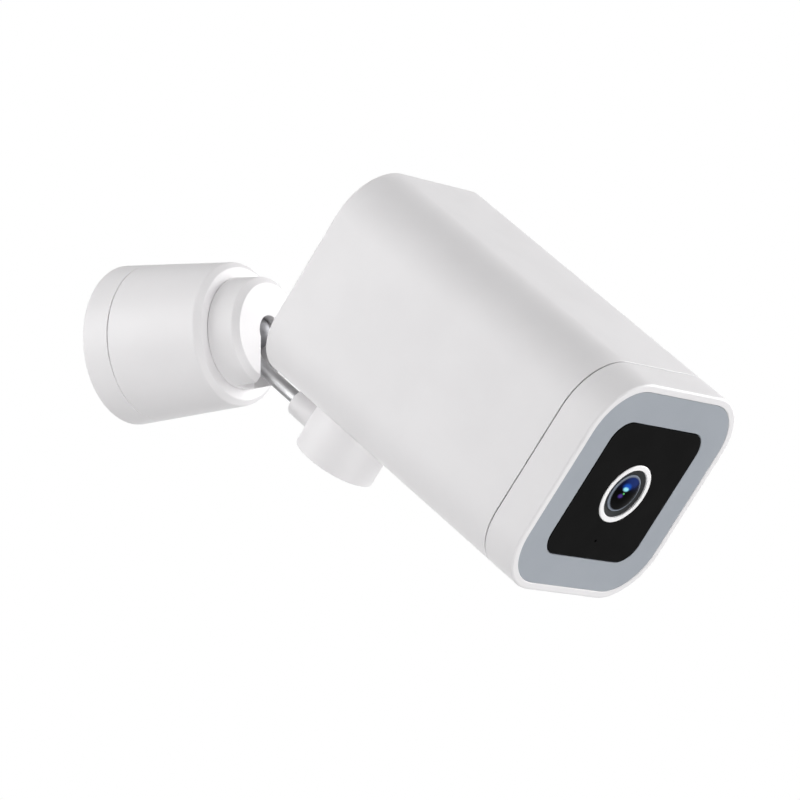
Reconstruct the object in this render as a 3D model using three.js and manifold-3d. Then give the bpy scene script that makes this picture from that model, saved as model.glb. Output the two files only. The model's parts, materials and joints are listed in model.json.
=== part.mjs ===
// Floodlight security camera on a ball joint.
//
// Frame, in millimetres: the origin is the centre of the face that lies on the wall. +Y goes into the wall,
// +Z is up and +X is to the right of someone who faces the wall. Each sub-assembly is a group whose own axes
// are x right, y up and z forward, away from the wall, so a depth below is a distance along the group's z.

import * as THREE from "three";
import { mergeVertices } from "three/addons/utils/BufferGeometryUtils.js";
import Module from "manifold-3d";

const wasm = await Module();
wasm.setup();

// ---- Driving dimensions -------------------------------------------------------------------------------------

const GAP = 0.3; // clearance between pieces that touch

const wallBase = { backRadius: 31.9, seam: 11.7, seamRadius: 31.1, shoulder: 52.7, shoulderRadius: 28.4 };
const fixing = { radius: 2.2, circle: 16 }; // the four screws into the wall
const lockScrew = { radius: 1.5, depth: 15, from: 25, to: 29.4 };
const baseFront = { depth: 54.9, radius: 26.2, wall: 5 };
const seal = { inner: 15.9, outer: 18.2, groove: 1.8, cordRadius: 0.85 };
const neck = { shoulder: 66.2, rootRadius: 22.2, shoulderRadius: 21.4, front: 68.5, frontRadius: 18.9 };
const spigot = { radius: 14, bore: 9.2, boreEnd: 59, back: 42 };
const swivelWasher = { radius: 20, thickness: 1 };
const ballJoint = { radius: 7, depth: 60.5, holeRadius: 6, slotWidth: 10.5, slotBack: 57, cupBack: 51.5 };
const discSpring = { inner: 4.2, outer: 8.6, thickness: 0.7, dish: 0.9 };
const plug = { back: 43, front: 47.3, socket: 3.5, socketFloor: 46 };

const pitch = THREE.MathUtils.degToRad(38.35); // how far the camera looks down
const rod = { radius: 2.75, elbowDrop: 11.16, bend: 3.5, reach: 57.6, end: 9.3 };
const hub = { radius: 16.8, bottom: -8.85, top: 11.15, bossRadius: 5.8, bossEnd: 28.7, capRadius: 14.5 };
const hubScrew = { radius: 3, headRadius: 6.4, headBottom: -6.6, seat: -3, intoBody: 8 };
const setScrew = { radius: 1.5, depth: -21, outside: 5.4 };

const body = { width: 90, height: 90.5, corner: 22.5, length: 145, wall: 2.6, edge: 1.2 };
const bezelDepth = 15.2;
const rim = 3.1; // white border round the light
const panel = { size: 57.8, corner: 8.6, thickness: 2.6 };
const lens = { ringOuter: 12.6, ringInner: 10.5, back: -4.5, glassRadius: 7.6, rim: -0.5, apex: 0.9 };
const bracket = { size: 58.2, corner: 8.8, wall: 2, front: -2.9, back: -20 };
const microphone = { y: -21.1, radius: 2.5, holeRadius: 0.6, back: -6 };
const hubToFront = 117.6; // from the hub's axis to the camera's front face
const rodBelowBody = 12.55; // from the camera's underside to the rod's centre line

const halfHeight = body.height / 2;
const hubDepth = -hubToFront;
const shellFront = -bezelDepth - 0.5;
const ledgeDepth = 5.3 - body.length; // seat of the rear cover's gasket

// ---- Solids -------------------------------------------------------------------------------------------------

/** A manifold solid from a closed geometry. */
function solid(geometry) {
  const bare = geometry.clone();
  bare.deleteAttribute("normal");
  bare.deleteAttribute("uv");
  const merged = mergeVertices(bare, 1e-4);
  const triVerts = new Uint32Array(merged.index.array);
  const vertProperties = merged.attributes.position.array;
  return new wasm.Manifold(new wasm.Mesh({ numProp: 3, vertProperties, triVerts }));
}

/** A geometry from a manifold solid. */
function geometryOf(shape) {
  const { vertProperties, triVerts } = shape.getMesh();
  const geometry = new THREE.BufferGeometry();
  geometry.setAttribute("position", new THREE.BufferAttribute(vertProperties, 3));
  geometry.setIndex(new THREE.BufferAttribute(triVerts, 1));
  geometry.computeVertexNormals();
  return geometry;
}

/** The first geometry with all the others cut away. */
function cut(first, ...tools) {
  return geometryOf(tools.reduce((shape, tool) => shape.subtract(solid(tool)), solid(first)));
}

/** All the geometries joined into one. */
function join(first, ...others) {
  return geometryOf(others.reduce((shape, other) => shape.add(solid(other)), solid(first)));
}

/** Solid of revolution about z. The profile lists [radius, depth] with the metal on its left. */
function turned(profile, sides = 36) {
  const points = profile.map(([radius, depth]) => new THREE.Vector2(radius, depth));
  const startsOnAxis = points[0].x === 0;
  if (!startsOnAxis) {
    points.push(points[0].clone());
  }
  return new THREE.LatheGeometry(points, sides).rotateX(Math.PI / 2);
}

/** Round bar along z between two depths. */
function bar(radius, from, to, sides = 32) {
  const geometry = new THREE.CylinderGeometry(radius, radius, to - from, sides);
  return geometry.rotateX(Math.PI / 2).translate(0, 0, (from + to) / 2);
}

/** Ring about z between two radii and two depths. */
function ring(inner, outer, from, to, sides = 36) {
  return turned([[inner, from], [outer, from], [outer, to], [inner, to]], sides);
}

/** Box from its centre and its sizes. */
function block(x, y, z, width, height, depth) {
  return new THREE.BoxGeometry(width, height, depth).translate(x, y, z);
}

/** Points [radius, depth] along an arc about a centre on the axis, between two angles from the forward axis. */
function arc(radius, centre, fromDegrees, toDegrees, steps) {
  return Array.from({ length: steps + 1 }, (_, i) => {
    const angle = THREE.MathUtils.degToRad(fromDegrees + ((toDegrees - fromDegrees) * i) / steps);
    return [radius * Math.sin(angle), centre + radius * Math.cos(angle)];
  });
}

/** Rectangle with round corners, centred on the axis. */
function roundedOutline(width, height, corner) {
  const x = width / 2 - corner;
  const y = height / 2 - corner;
  const shape = new THREE.Shape();
  shape.absarc(x, y, corner, 0, Math.PI / 2);
  shape.absarc(-x, y, corner, Math.PI / 2, Math.PI);
  shape.absarc(-x, -y, corner, Math.PI, Math.PI * 1.5);
  shape.absarc(x, -y, corner, Math.PI * 1.5, Math.PI * 2);
  return shape;
}

/** Slab with the camera's cross-section drawn in by an inset, between two depths. Its edges may be softened. */
function slab(inset, from, to, edge = 0) {
  const shape = roundedOutline(body.width - 2 * inset, body.height - 2 * inset, body.corner - inset);
  return new THREE.ExtrudeGeometry(shape, {
    depth: to - from - 2 * edge,
    bevelEnabled: edge > 0,
    bevelThickness: edge,
    bevelSize: edge,
    bevelOffset: -edge,
    bevelSegments: 2,
    curveSegments: 6,
  }).translate(0, 0, from + edge);
}

/** Square slab with round corners between two depths. */
function squareSlab(size, corner, from, to) {
  const options = { depth: to - from, bevelEnabled: false, curveSegments: 4 };
  return new THREE.ExtrudeGeometry(roundedOutline(size, size, corner), options).translate(0, 0, from);
}

/** Turns a geometry made along z so that it runs along y, upwards. */
function upright(geometry) {
  return geometry.rotateX(-Math.PI / 2);
}

// ---- Finishes -----------------------------------------------------------------------------------------------

const finish = (color, roughness, metalness = 0) =>
  new THREE.MeshStandardMaterial({ color, roughness, metalness });

const whitePlastic = finish(0xe9e9ec, 0.45);
const whiteTrim = finish(0xf4f4f6, 0.3);
const frosted = finish(0xc9d2dc, 0.35);
const blackGloss = finish(0x0b0c0e, 0.12);
const darkPlastic = finish(0x24262a, 0.5);
const glass = finish(0x14235a, 0.05);
const steel = finish(0xa9abae, 0.28, 1);
const brass = finish(0xc9a24a, 0.3, 1);
const aluminium = finish(0xc3c6c9, 0.4, 1);
const rubber = finish(0x3a3c40, 0.85);
const slipPlastic = finish(0xd8d6cc, 0.5);
const circuit = finish(0x1d5a3a, 0.6);
const cellWrap = finish(0x2f6fa8, 0.45);

/** Adds a named piece to a group. */
function add(group, name, geometry, material) {
  const mesh = new THREE.Mesh(geometry, material);
  mesh.name = name;
  group.add(mesh);
}

// ---- Wall base ----------------------------------------------------------------------------------------------

/** Lays a geometry made along z along the ray of the base's lock screw, below and to the right. */
function alongLockRay(geometry) {
  return geometry.rotateX(Math.PI / 2).rotateZ(Math.PI / 4).translate(0, 0, lockScrew.depth);
}

function wallBaseGroup() {
  const group = new THREE.Group();
  const floor = 3.5;
  const lip = { outer: 27.2, inner: 24.8, end: 18 };
  const screwHole = () => alongLockRay(bar(lockScrew.radius + GAP, lip.inner - 1, wallBase.backRadius + 1, 16));

  const plate = turned([
    [0, 0], [wallBase.backRadius, 0], [wallBase.seamRadius, wallBase.seam], [lip.outer, wallBase.seam],
    [lip.outer, lip.end], [lip.inner, lip.end], [lip.inner, floor], [0, floor],
  ]);
  const fixingHoles = [0, 1, 2, 3].map((i) =>
    bar(fixing.radius, -1, floor + 1, 16).translate(fixing.circle, 0, 0).rotateZ((i * Math.PI) / 2),
  );
  add(group, "wall_plate", cut(plate, ...fixingHoles, screwHole()), whitePlastic);

  const wall = 3;
  const back = wallBase.seam + GAP;
  const front = baseFront.depth;
  const innerFace = front - baseFront.wall;
  const grooveFloor = front - seal.groove;
  const boreRadius = spigot.radius + GAP;
  const housing = turned([
    [wallBase.seamRadius - wall, back], [wallBase.seamRadius, back],
    [wallBase.shoulderRadius, wallBase.shoulder], [baseFront.radius, front], [seal.outer, front],
    [seal.outer, grooveFloor], [seal.inner, grooveFloor], [seal.inner, front], [boreRadius, front],
    [boreRadius, innerFace], [wallBase.shoulderRadius - wall, innerFace],
  ]);
  add(group, "base_housing", cut(housing, screwHole()), whitePlastic);
  add(group, "base_lock_screw", alongLockRay(bar(lockScrew.radius, lockScrew.from, lockScrew.to, 16)), steel);

  const cord = new THREE.TorusGeometry((seal.inner + seal.outer) / 2, seal.cordRadius, 6, 36);
  add(group, "neck_seal", cord.translate(0, 0, front - seal.cordRadius), rubber);
  const washerFront = innerFace - GAP;
  const washer = ring(boreRadius, swivelWasher.radius, washerFront - swivelWasher.thickness, washerFront);
  add(group, "swivel_washer", washer, slipPlastic);
  return group;
}

// ---- Neck ---------------------------------------------------------------------------------------------------

/** Conical spring washer. Its outer edge lies further along than its inner edge by the dish. */
function springWasher(depth, dish) {
  const { inner, outer, thickness } = discSpring;
  return turned([
    [inner, depth], [outer, depth + dish], [outer, depth + dish + thickness], [inner, depth + thickness],
  ], 24);
}

function neckGroup() {
  const group = new THREE.Group();
  const root = baseFront.depth + GAP;
  const seatRadius = ballJoint.radius + GAP;
  const holeAngle = THREE.MathUtils.radToDeg(Math.asin(ballJoint.holeRadius / seatRadius));

  const collar = turned([
    [spigot.bore, spigot.back], [spigot.radius, spigot.back], [spigot.radius, root], [neck.rootRadius, root],
    [neck.shoulderRadius, neck.shoulder], [neck.frontRadius, neck.front], [ballJoint.holeRadius, neck.front],
    ...arc(seatRadius, ballJoint.depth, holeAngle, 90, 4), [seatRadius, spigot.boreEnd],
    [spigot.bore, spigot.boreEnd],
  ]);
  const slotDepth = neck.front + 1 - ballJoint.slotBack;
  const slotHeight = 30;
  const slotCentre = ballJoint.slotBack + slotDepth / 2;
  const slot = block(0, -slotHeight / 2, slotCentre, ballJoint.slotWidth, slotHeight, slotDepth);
  add(group, "neck_collar", cut(collar, slot), whitePlastic);

  const nutFront = baseFront.depth - baseFront.wall - swivelWasher.thickness - 2 * GAP;
  const nutBack = nutFront - 5.5;
  const threads = bar(spigot.radius + GAP, nutBack - 1, nutFront + 1);
  add(group, "neck_nut", cut(bar(swivelWasher.radius, nutBack, nutFront, 6), threads), brass);

  const cupOuter = spigot.bore - GAP;
  const cupFront = ballJoint.slotBack;
  const cupAngle = 180 - THREE.MathUtils.radToDeg(Math.acos((ballJoint.depth - cupFront) / seatRadius));
  const seat = arc(seatRadius, ballJoint.depth, cupAngle, 180, 4).slice(0, -1);
  const cup = turned([
    [0, ballJoint.cupBack], [cupOuter, ballJoint.cupBack], [cupOuter, cupFront], ...seat,
    [0, ballJoint.depth - seatRadius],
  ], 32);
  add(group, "ball_cup", cup, slipPlastic);

  const springsMeet = ballJoint.cupBack - 2.15;
  add(group, "disc_spring_front", springWasher(springsMeet + GAP / 2, discSpring.dish), steel);
  const rearSpring = springWasher(springsMeet - GAP / 2 - discSpring.thickness, -discSpring.dish);
  add(group, "disc_spring_rear", rearSpring, steel);
  const socket = bar(plug.socket, plug.back - 1, plug.socketFloor, 6);
  add(group, "spring_plug", cut(bar(cupOuter, plug.back, plug.front), socket), brass);
  return group;
}

// ---- Arm ----------------------------------------------------------------------------------------------------

/** Bent rod and ball, about the ball's centre. */
function armGroup() {
  const group = new THREE.Group();
  const drop = new THREE.Vector3(0, -1, 0);
  const forward = new THREE.Vector3(0, -Math.sin(pitch), Math.cos(pitch));
  const start = drop.clone().multiplyScalar(ballJoint.radius / 2);
  const elbow = drop.clone().multiplyScalar(rod.elbowDrop);
  const beforeElbow = elbow.clone().addScaledVector(drop, -rod.bend);
  const afterElbow = elbow.clone().addScaledVector(forward, rod.bend);
  const end = elbow.clone().addScaledVector(forward, rod.reach - rod.end);

  const path = new THREE.CurvePath();
  path.add(new THREE.LineCurve3(start, beforeElbow));
  path.add(new THREE.QuadraticBezierCurve3(beforeElbow, elbow, afterElbow));
  path.add(new THREE.LineCurve3(afterElbow, end));
  const section = new THREE.Shape().absarc(0, 0, rod.radius, 0, Math.PI * 2);
  const rodShape = new THREE.ExtrudeGeometry(section, { steps: 28, curveSegments: 7, extrudePath: path });
  add(group, "arm_rod", rodShape, steel);

  const ball = new THREE.SphereGeometry(ballJoint.radius, 24, 14).rotateX(Math.PI / 2);
  const stemHole = upright(bar(rod.radius + GAP, -ballJoint.radius - 1, GAP - ballJoint.radius / 2, 24));
  add(group, "ball", cut(ball, stemHole), steel);
  return group;
}

/** Hub under the camera, about the point where its axis meets the rod's centre line. */
function hubGroup() {
  const group = new THREE.Group();
  const chamfer = 0.6;
  const cap = { radius: hub.capRadius, recess: 2 };
  const recessFloor = hub.bottom + cap.recess;
  const screwBore = hubScrew.radius + GAP;
  const headBore = hubScrew.headRadius + 0.8;
  const bodyOfHub = upright(turned([
    [screwBore, hubScrew.seat], [headBore, hubScrew.seat], [headBore, recessFloor],
    [cap.radius + GAP, recessFloor], [cap.radius + GAP, hub.bottom], [hub.radius - chamfer, hub.bottom],
    [hub.radius, hub.bottom + chamfer], [hub.radius, hub.top], [screwBore, hub.top],
  ]));
  const boss = bar(hub.bossRadius, -hub.bossEnd, -0.7 * hub.radius);
  const rodBore = bar(rod.radius + GAP, -hub.bossEnd - 1, GAP - rod.end, 24);
  const acrossBoss = (radius, from, to) =>
    bar(radius, from, to, 16).rotateY(Math.PI / 2).translate(0, 0, setScrew.depth);
  const screwHole = acrossBoss(setScrew.radius + GAP, rod.radius - 1, hub.bossRadius + 1);
  add(group, "swivel_hub", cut(join(bodyOfHub, boss), rodBore, screwHole), whitePlastic);
  add(group, "rod_set_screw", acrossBoss(setScrew.radius, rod.radius + GAP, setScrew.outside), steel);
  add(group, "hub_cap", upright(bar(cap.radius, hub.bottom + GAP, recessFloor - GAP)), whitePlastic);

  const screwTop = rodBelowBody + hubScrew.intoBody;
  const underHead = hubScrew.seat - GAP;
  const screw = upright(turned([
    [0, hubScrew.headBottom], [hubScrew.headRadius, hubScrew.headBottom], [hubScrew.headRadius, underHead],
    [hubScrew.radius, underHead], [hubScrew.radius, screwTop], [0, screwTop],
  ], 24));
  const driveSocket = upright(bar(2.6, hubScrew.headBottom - 1, hubScrew.headBottom + 2, 6));
  add(group, "hub_screw", cut(screw, driveSocket), steel);
  const washer = upright(ring(screwBore, 13, hub.top + GAP, rodBelowBody - GAP));
  add(group, "hub_washer", washer, slipPlastic);
  return group;
}

// ---- Camera -------------------------------------------------------------------------------------------------

const rearScrewPlaces = [[1, 1], [-1, 1], [-1, -1], [1, -1]].map(([x, y]) => [x * 33.5, y * 33.5]);
const rearScrew = { radius: 1.1, headRadius: 2.8, headDepth: 1.2, clearance: 1.7, pilot: 1.4 };
const contactPlaces = { charge_contact_left: [-7, 9], charge_contact_right: [7, 9] };
const speaker = { depth: -62, radius: 14, coneRadius: 8 };

/** Large block that starts at a depth and goes forward from it, or backward if the side is -1. */
function beyond(depth, side) {
  const size = 200;
  return block(0, 0, depth + (side * size) / 2, size, size, size);
}

/** Outer shell: a tube with a ledge for the rear cover, screw bosses and the hub's threaded insert. */
function addShell(group) {
  const ledge = { inset: 5.5, thickness: 2 };
  const rebate = { inset: 0.9, depth: 1.6 };
  const outer = cut(slab(0, -body.length, shellFront + 20, body.edge), beyond(shellFront, 1));
  const hollow = cut(
    outer,
    slab(body.wall, ledgeDepth + ledge.thickness, 0),
    slab(ledge.inset, ledgeDepth - 1, 0),
    slab(body.wall - 0.2, -body.length - 1, ledgeDepth),
    slab(rebate.inset, shellFront - rebate.depth, 0),
  );
  const screwBars = (radius, from, to, sides) =>
    rearScrewPlaces.map(([x, y]) => bar(radius, from, to, sides).translate(x, y, 0));
  const bosses = screwBars(4, ledgeDepth + 1, ledgeDepth + 12, 16);
  const pilots = screwBars(rearScrew.pilot, ledgeDepth - 1, ledgeDepth + 11, 8);

  const insert = { bore: 3.3, radius: 5, top: -36 };
  const underHub = (geometry) => upright(geometry).translate(0, 0, hubDepth);
  const insertBoss = underHub(bar(insert.radius + 3.5, -halfHeight + 1, insert.top + 2, 32));
  const insertHole = underHub(bar(insert.radius + GAP, -halfHeight - 1, insert.top + 0.5, 32));
  const slots = [-2, -1, 0, 1, 2].map((i) => block(4 * i, -halfHeight, speaker.depth, 1.6, 8, 18));
  const filled = join(hollow, ...bosses, insertBoss);
  add(group, "main_shell", cut(filled, ...pilots, insertHole, ...slots), whitePlastic);
  const threads = underHub(ring(insert.bore, insert.radius, GAP - halfHeight, insert.top, 24));
  add(group, "mount_insert", threads, brass);
}

/** Front frame with the diffuser, and the seal behind it. */
function addFront(group) {
  const back = -bezelDepth;
  const tongue = { inset: body.wall + GAP, length: 5 };
  const seatDepth = 3;
  const front = cut(slab(0, -body.length, 0, 0.8), beyond(back, -1));
  const frame = join(front, slab(tongue.inset, back - tongue.length, back + 1));
  const opening = slab(tongue.inset + 2.6, back - tongue.length - 1, 5);
  add(group, "front_bezel", cut(frame, slab(rim, -seatDepth, 5), opening), whitePlastic);

  const gasket = cut(slab(1.2, shellFront - 1.3, back - GAP), slab(body.wall, shellFront - 3, 0));
  add(group, "front_gasket", gasket, rubber);

  const panelWindow = squareSlab(panel.size + 0.5, panel.corner + 0.25, -5, 5);
  add(group, "light_diffuser", cut(slab(rim + 0.15, -seatDepth + 0.5, 0), panelWindow), frosted);
}

/** Black panel, lens and the tube that carries them. */
function addCameraModule(group) {
  const soundHole = bar(microphone.holeRadius, -5, 5, 12).translate(0, microphone.y, 0);
  const window = bar(lens.ringOuter + 0.2, -5, 5, 36);
  const glossPanel = squareSlab(panel.size, panel.corner, -panel.thickness, 0);
  add(group, "black_panel", cut(glossPanel, window, soundHole), blackGloss);
  const capsule = bar(microphone.radius, microphone.back, -panel.thickness - GAP, 20);
  add(group, "microphone", capsule.translate(0, microphone.y, 0), darkPlastic);

  add(group, "lens_ring", ring(lens.ringInner, lens.ringOuter, lens.back, GAP), whiteTrim);
  const hoodOuter = lens.ringInner - 0.2;
  const hoodInner = lens.glassRadius + GAP;
  const hood = turned([
    [hoodInner, lens.back], [hoodOuter, lens.back], [hoodOuter, -GAP], [hoodInner, lens.rim - 0.4],
  ]);
  add(group, "lens_hood", hood, darkPlastic);

  const sagitta = lens.apex - lens.rim;
  const domeRadius = (lens.glassRadius ** 2 + sagitta ** 2) / (2 * sagitta);
  const domeAngle = THREE.MathUtils.radToDeg(Math.asin(lens.glassRadius / domeRadius));
  const dome = arc(domeRadius, lens.apex - domeRadius, domeAngle, 0, 4).slice(0, -1);
  const glassBack = lens.back - 0.7;
  const frontGlass = turned([[0, glassBack], [lens.glassRadius, glassBack], ...dome, [0, lens.apex]], 32);
  add(group, "lens_glass", frontGlass, glass);
  const barrel = cut(bar(7.8, -22, glassBack - GAP), bar(5.5, -9, lens.back, 32));
  add(group, "lens_barrel", barrel, darkPlastic);

  const { size, corner, wall } = bracket;
  const inner = squareSlab(size - 2 * wall, corner - wall, bracket.back + wall, 0);
  const barrelHole = bar(8.2, bracket.back - 1, 0, 32);
  const tube = cut(squareSlab(size, corner, bracket.back, bracket.front), inner, barrelHole);
  add(group, "camera_bracket", tube, darkPlastic);
  const sensor = join(block(0, 0, -23.2, 26, 26, 1.6), block(0, 0, -24.6, 10, 10, 1.6));
  add(group, "sensor_board", sensor, circuit);
}

/** Ring-shaped light board with its row of lamps on each side, and the heat sink behind it. */
function addLight(group) {
  const plate = { inset: 6, opening: bracket.size + 1.2, corner: bracket.corner + 0.6 };
  const lamp = { size: 3.5, pitch: 15, line: 34.2, depth: -7.5 };
  const fin = { width: 1.6, length: 8, height: 7, pitch: 8, depth: -15 };
  const lamps = [];
  const fins = [];
  for (let side = 0; side < 4; side++) {
    const turn = (side * Math.PI) / 2;
    for (const i of [-1, 0, 1]) {
      lamps.push(block(i * lamp.pitch, lamp.line, lamp.depth, lamp.size, lamp.size, 1).rotateZ(turn));
    }
    for (const i of [-2, -1, 0, 1, 2]) {
      fins.push(block(i * fin.pitch, lamp.line, fin.depth, fin.width, fin.length, fin.height).rotateZ(turn));
    }
  }
  const frame = (from, to) =>
    cut(slab(plate.inset, from, to), squareSlab(plate.opening, plate.corner, from - 1, to + 1));
  add(group, "led_board", join(frame(-9.4, -7.9), ...lamps), circuit);
  add(group, "heat_sink", join(frame(-12, -9.7), ...fins), aluminium);
}

/** Boards, cells and speaker inside the shell. */
function addInside(group) {
  const chips = [[-14, -50, 16], [12, -62, 12], [0, -96, 20]];
  const board = join(
    block(0, 10, -76, 62, 1.6, 88),
    ...chips.map(([x, z, size]) => block(x, 11.6, z, size, 2.4, size)),
  );
  add(group, "main_board", board, circuit);
  add(group, "antenna_board", block(0, 36, -66, 48, 1.2, 14), circuit);

  const cell = { radius: 9.25, x: 11, y: -18, from: -101, to: -35.5 };
  const places = { battery_cell_left: -cell.x, battery_cell_right: cell.x };
  for (const [name, x] of Object.entries(places)) {
    add(group, name, bar(cell.radius, cell.from, cell.to, 24).translate(x, cell.y, 0), cellWrap);
  }
  const grooves = Object.values(places).map((x) =>
    bar(cell.radius + GAP, cell.from - 5, cell.to + 5, 24).translate(x, cell.y, 0),
  );
  const cradle = block(0, -26, (cell.from + cell.to) / 2, 44, 12, 60);
  add(group, "battery_cradle", cut(cradle, ...grooves), darkPlastic);

  const floor = body.wall + GAP - halfHeight;
  const magnet = floor + 3;
  const top = floor + 7;
  const loudspeaker = upright(turned([
    [0, floor], [speaker.radius, floor], [speaker.radius, magnet], [speaker.coneRadius, magnet],
    [speaker.coneRadius, top], [0, top],
  ], 32));
  add(group, "speaker", loudspeaker.translate(0, 0, speaker.depth), darkPlastic);
}

/** Rear cover with its gasket, screws, button and charging contacts, and the board behind them. */
function addRear(group) {
  const outside = 1.6 - body.length;
  const inside = 4.1 - body.length;
  const button = { x: 0, y: 22, radius: 4, flange: 5.2, outer: 1.1 - body.length };
  const contactRadius = 2;
  const headSeat = outside + rearScrew.headDepth;
  const throughCover = (radius, x, y, sides) => bar(radius, outside - 1, inside + 1, sides).translate(x, y, 0);
  const screwHoles = rearScrewPlaces.flatMap(([x, y]) => [
    throughCover(rearScrew.clearance, x, y, 12),
    bar(rearScrew.headRadius + GAP, outside - 1, headSeat + GAP, 12).translate(x, y, 0),
  ]);
  const contactHoles = Object.values(contactPlaces).map(([x, y]) =>
    throughCover(contactRadius + GAP, x, y, 16),
  );
  const buttonHole = throughCover(button.radius + GAP, button.x, button.y, 24);
  const cover = cut(slab(body.wall + 0.1, outside, inside), ...screwHoles, ...contactHoles, buttonHole);
  add(group, "rear_cover", cover, whitePlastic);

  const gasketBody = slab(body.wall + GAP, inside + GAP, ledgeDepth - GAP);
  const gasketOpening = slab(5.2, inside - 1, ledgeDepth + 1);
  const screwWays = rearScrewPlaces.map(([x, y]) =>
    bar(rearScrew.clearance, inside, ledgeDepth, 12).translate(x, y, 0),
  );
  add(group, "rear_gasket", cut(gasketBody, gasketOpening, ...screwWays), rubber);

  rearScrewPlaces.forEach(([x, y], i) => {
    const face = outside + 0.1;
    const tip = ledgeDepth + 8;
    const screw = turned([
      [0, face], [rearScrew.headRadius, face], [rearScrew.headRadius, headSeat], [rearScrew.radius, headSeat],
      [rearScrew.radius, tip], [0, tip],
    ], 12);
    const drive = bar(1.2, face - 1, face + 0.8, 6);
    add(group, `rear_screw_${i + 1}`, cut(screw, drive).translate(x, y, 0), steel);
  });

  const flangeBack = inside + GAP;
  const flangeFront = flangeBack + 0.8;
  const push = turned([
    [0, button.outer], [button.radius, button.outer], [button.radius, flangeBack],
    [button.flange, flangeBack], [button.flange, flangeFront], [0, flangeFront],
  ], 20);
  add(group, "sync_button", push.translate(button.x, button.y, 0), darkPlastic);

  const boardBack = ledgeDepth + 2.1;
  const board = join(
    block(0, 15, boardBack + 0.8, 30, 26, 1.6),
    block(button.x, button.y, boardBack - 0.3, 5, 5, 1),
  );
  add(group, "rear_board", board, circuit);
  for (const [name, [x, y]] of Object.entries(contactPlaces)) {
    add(group, name, bar(contactRadius, outside - 0.2, boardBack - GAP, 16).translate(x, y, 0), brass);
  }
}

function cameraGroup() {
  const group = new THREE.Group();
  addShell(group);
  addFront(group);
  addCameraModule(group);
  addLight(group);
  addInside(group);
  addRear(group);
  return group;
}

// ---- Assembly -----------------------------------------------------------------------------------------------

const object = new THREE.Group();
const arm = armGroup();
arm.position.z = ballJoint.depth;

// The hub is at the rod's far end, below the ball, and the camera stands on the hub.
const along = new THREE.Vector3(0, -Math.sin(pitch), Math.cos(pitch));
const across = new THREE.Vector3(0, Math.cos(pitch), Math.sin(pitch));
const swivel = hubGroup();
swivel.rotation.x = pitch;
swivel.position.set(0, -rod.elbowDrop, ballJoint.depth).addScaledVector(along, rod.reach);
const camera = cameraGroup();
camera.rotation.x = pitch;
camera.position.copy(swivel.position);
camera.position.addScaledVector(along, hubToFront).addScaledVector(across, rodBelowBody + halfHeight);

object.add(wallBaseGroup(), neckGroup(), arm, swivel, camera);
object.rotation.x = Math.PI / 2;

export default object;
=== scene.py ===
"""Looks of a floodlight security camera that hangs on a ball joint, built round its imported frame.

Inside an assembly every length is in millimetres, in the assembly's own axes: x to the right of someone
who faces the wall, y up, and z forward, away from the wall. An Axes object turns them into the frame's
metres.
"""

import sys
import json
import logging
import math
from dataclasses import dataclass, field
from enum import Enum
from typing import Any, NamedTuple, Sequence

import bmesh
import bpy
from mathutils import Matrix, Vector


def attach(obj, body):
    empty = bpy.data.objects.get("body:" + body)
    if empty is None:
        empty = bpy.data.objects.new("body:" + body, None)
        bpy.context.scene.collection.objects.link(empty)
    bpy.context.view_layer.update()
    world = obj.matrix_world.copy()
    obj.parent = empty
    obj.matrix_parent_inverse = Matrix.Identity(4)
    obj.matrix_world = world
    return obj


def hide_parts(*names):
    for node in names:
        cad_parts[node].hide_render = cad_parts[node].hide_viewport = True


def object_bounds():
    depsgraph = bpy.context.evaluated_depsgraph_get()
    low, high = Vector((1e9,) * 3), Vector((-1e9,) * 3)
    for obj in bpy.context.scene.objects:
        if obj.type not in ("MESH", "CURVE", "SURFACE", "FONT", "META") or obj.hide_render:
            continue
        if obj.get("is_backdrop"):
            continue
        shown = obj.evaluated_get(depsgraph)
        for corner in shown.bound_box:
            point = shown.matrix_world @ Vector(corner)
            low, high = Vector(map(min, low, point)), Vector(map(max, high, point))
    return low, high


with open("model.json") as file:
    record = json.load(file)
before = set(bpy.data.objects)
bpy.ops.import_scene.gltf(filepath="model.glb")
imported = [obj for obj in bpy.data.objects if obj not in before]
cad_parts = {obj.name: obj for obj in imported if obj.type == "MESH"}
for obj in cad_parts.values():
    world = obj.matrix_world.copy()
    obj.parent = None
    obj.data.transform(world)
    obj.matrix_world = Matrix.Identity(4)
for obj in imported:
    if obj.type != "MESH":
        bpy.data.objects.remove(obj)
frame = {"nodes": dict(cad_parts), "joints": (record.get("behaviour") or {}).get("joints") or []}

LOG = logging.getLogger("floodlight_camera")
MM = 0.001
GAP = 0.3  # clearance between pieces that touch
BALL_RADIUS = 7.0
GLASS_RADIUS = 8.0  # front glass of the lens
SHARP_EDGE = 28  # degrees between two faces from which their edge stays crisp
CAD_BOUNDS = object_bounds()

Colour = tuple[float, float, float]
Ring = list[Vector]


class Slot(Enum):
    """The record's material slots."""

    WHITE_SHELL = "white_shell"
    WHITE_TRIM = "white_trim"
    FROSTED = "frosted"
    BLACK_PANEL = "black_panel"
    DARK_PLASTIC = "dark_plastic"
    LENS_GLASS = "lens_glass"
    STEEL = "steel"
    BRASS = "brass"
    ALUMINIUM = "aluminium"
    RUBBER = "rubber"
    SLIP_PLASTIC = "slip_plastic"
    CIRCUIT = "circuit"
    CELL_WRAP = "cell_wrap"


class Cut(Enum):
    """What a tool shape does to the shape it meets."""

    AWAY = "DIFFERENCE"
    JOIN = "UNION"


# ---- Outlines and meshes -------------------------------------------------------------------------


class Corner(NamedTuple):
    """A corner of an outline.

    Attributes:
        reach: Distance from the axis, or inset from the outer edge.
        depth: Place along z.
        round: Radius of its rounding.
    """

    reach: float
    depth: float
    round: float = 0.0


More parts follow.
